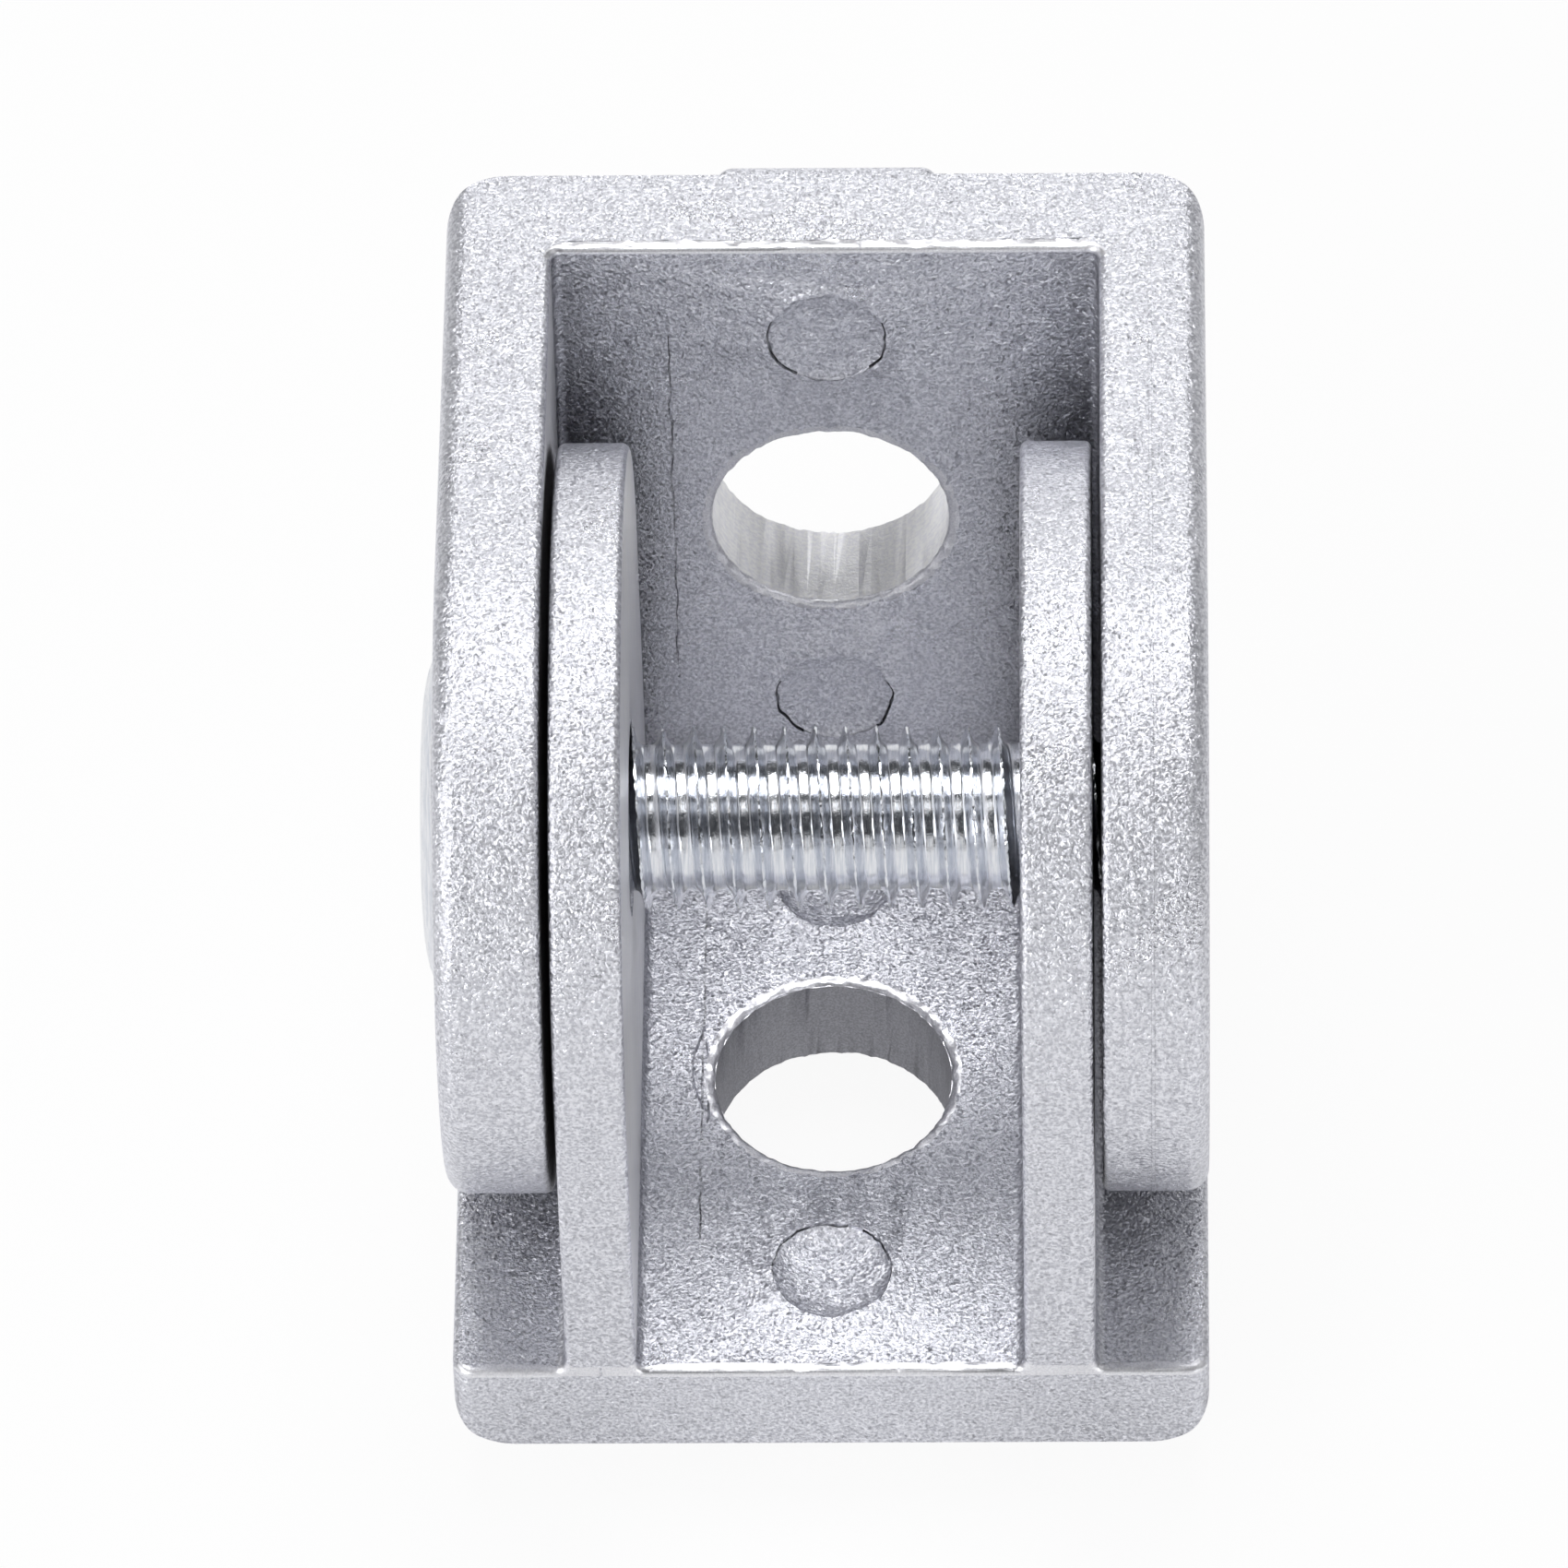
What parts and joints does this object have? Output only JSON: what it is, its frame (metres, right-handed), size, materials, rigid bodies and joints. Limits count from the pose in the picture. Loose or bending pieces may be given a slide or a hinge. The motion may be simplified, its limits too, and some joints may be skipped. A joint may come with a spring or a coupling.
{
  "type": "profile pivot joint",
  "caption": "Pivot joint for slotted profiles: two die-cast forked halves that swing on one clamping screw, each with a bolt hole and locating lugs.",
  "frame": {"origin": "centre of the inner clevis's bolt hole, on the face that meets the profile", "axes": "+Z from that face to the pivot, +X along the pivot axis from the screw's head to its tip, +Y towards the outer clevis's base"},
  "size_m": [0.0207, 0.0265, 0.0256],
  "materials": {
    "die_cast": "satin",
    "plated_steel": "gloss"
  },
  "bodies": {
    "inner_half": {"inner_clevis": "die_cast"},
    "outer_half": {"outer_clevis": "die_cast"},
    "screw": {"pivot_screw": "plated_steel"}
  },
  "joints": [
    {"name": "fold", "type": "hinge", "parent": "inner_half", "child": "outer_half", "pos_m": [0, 0, 0.014], "axis": [1, 0, 0], "range_deg": [0, 190.3]},
    {"name": "screw_turn", "type": "hinge", "parent": "outer_half", "child": "screw", "pos_m": [0, 0, 0.014], "axis": [-1, 0, 0], "range_deg": [0, 180]}
  ]
}
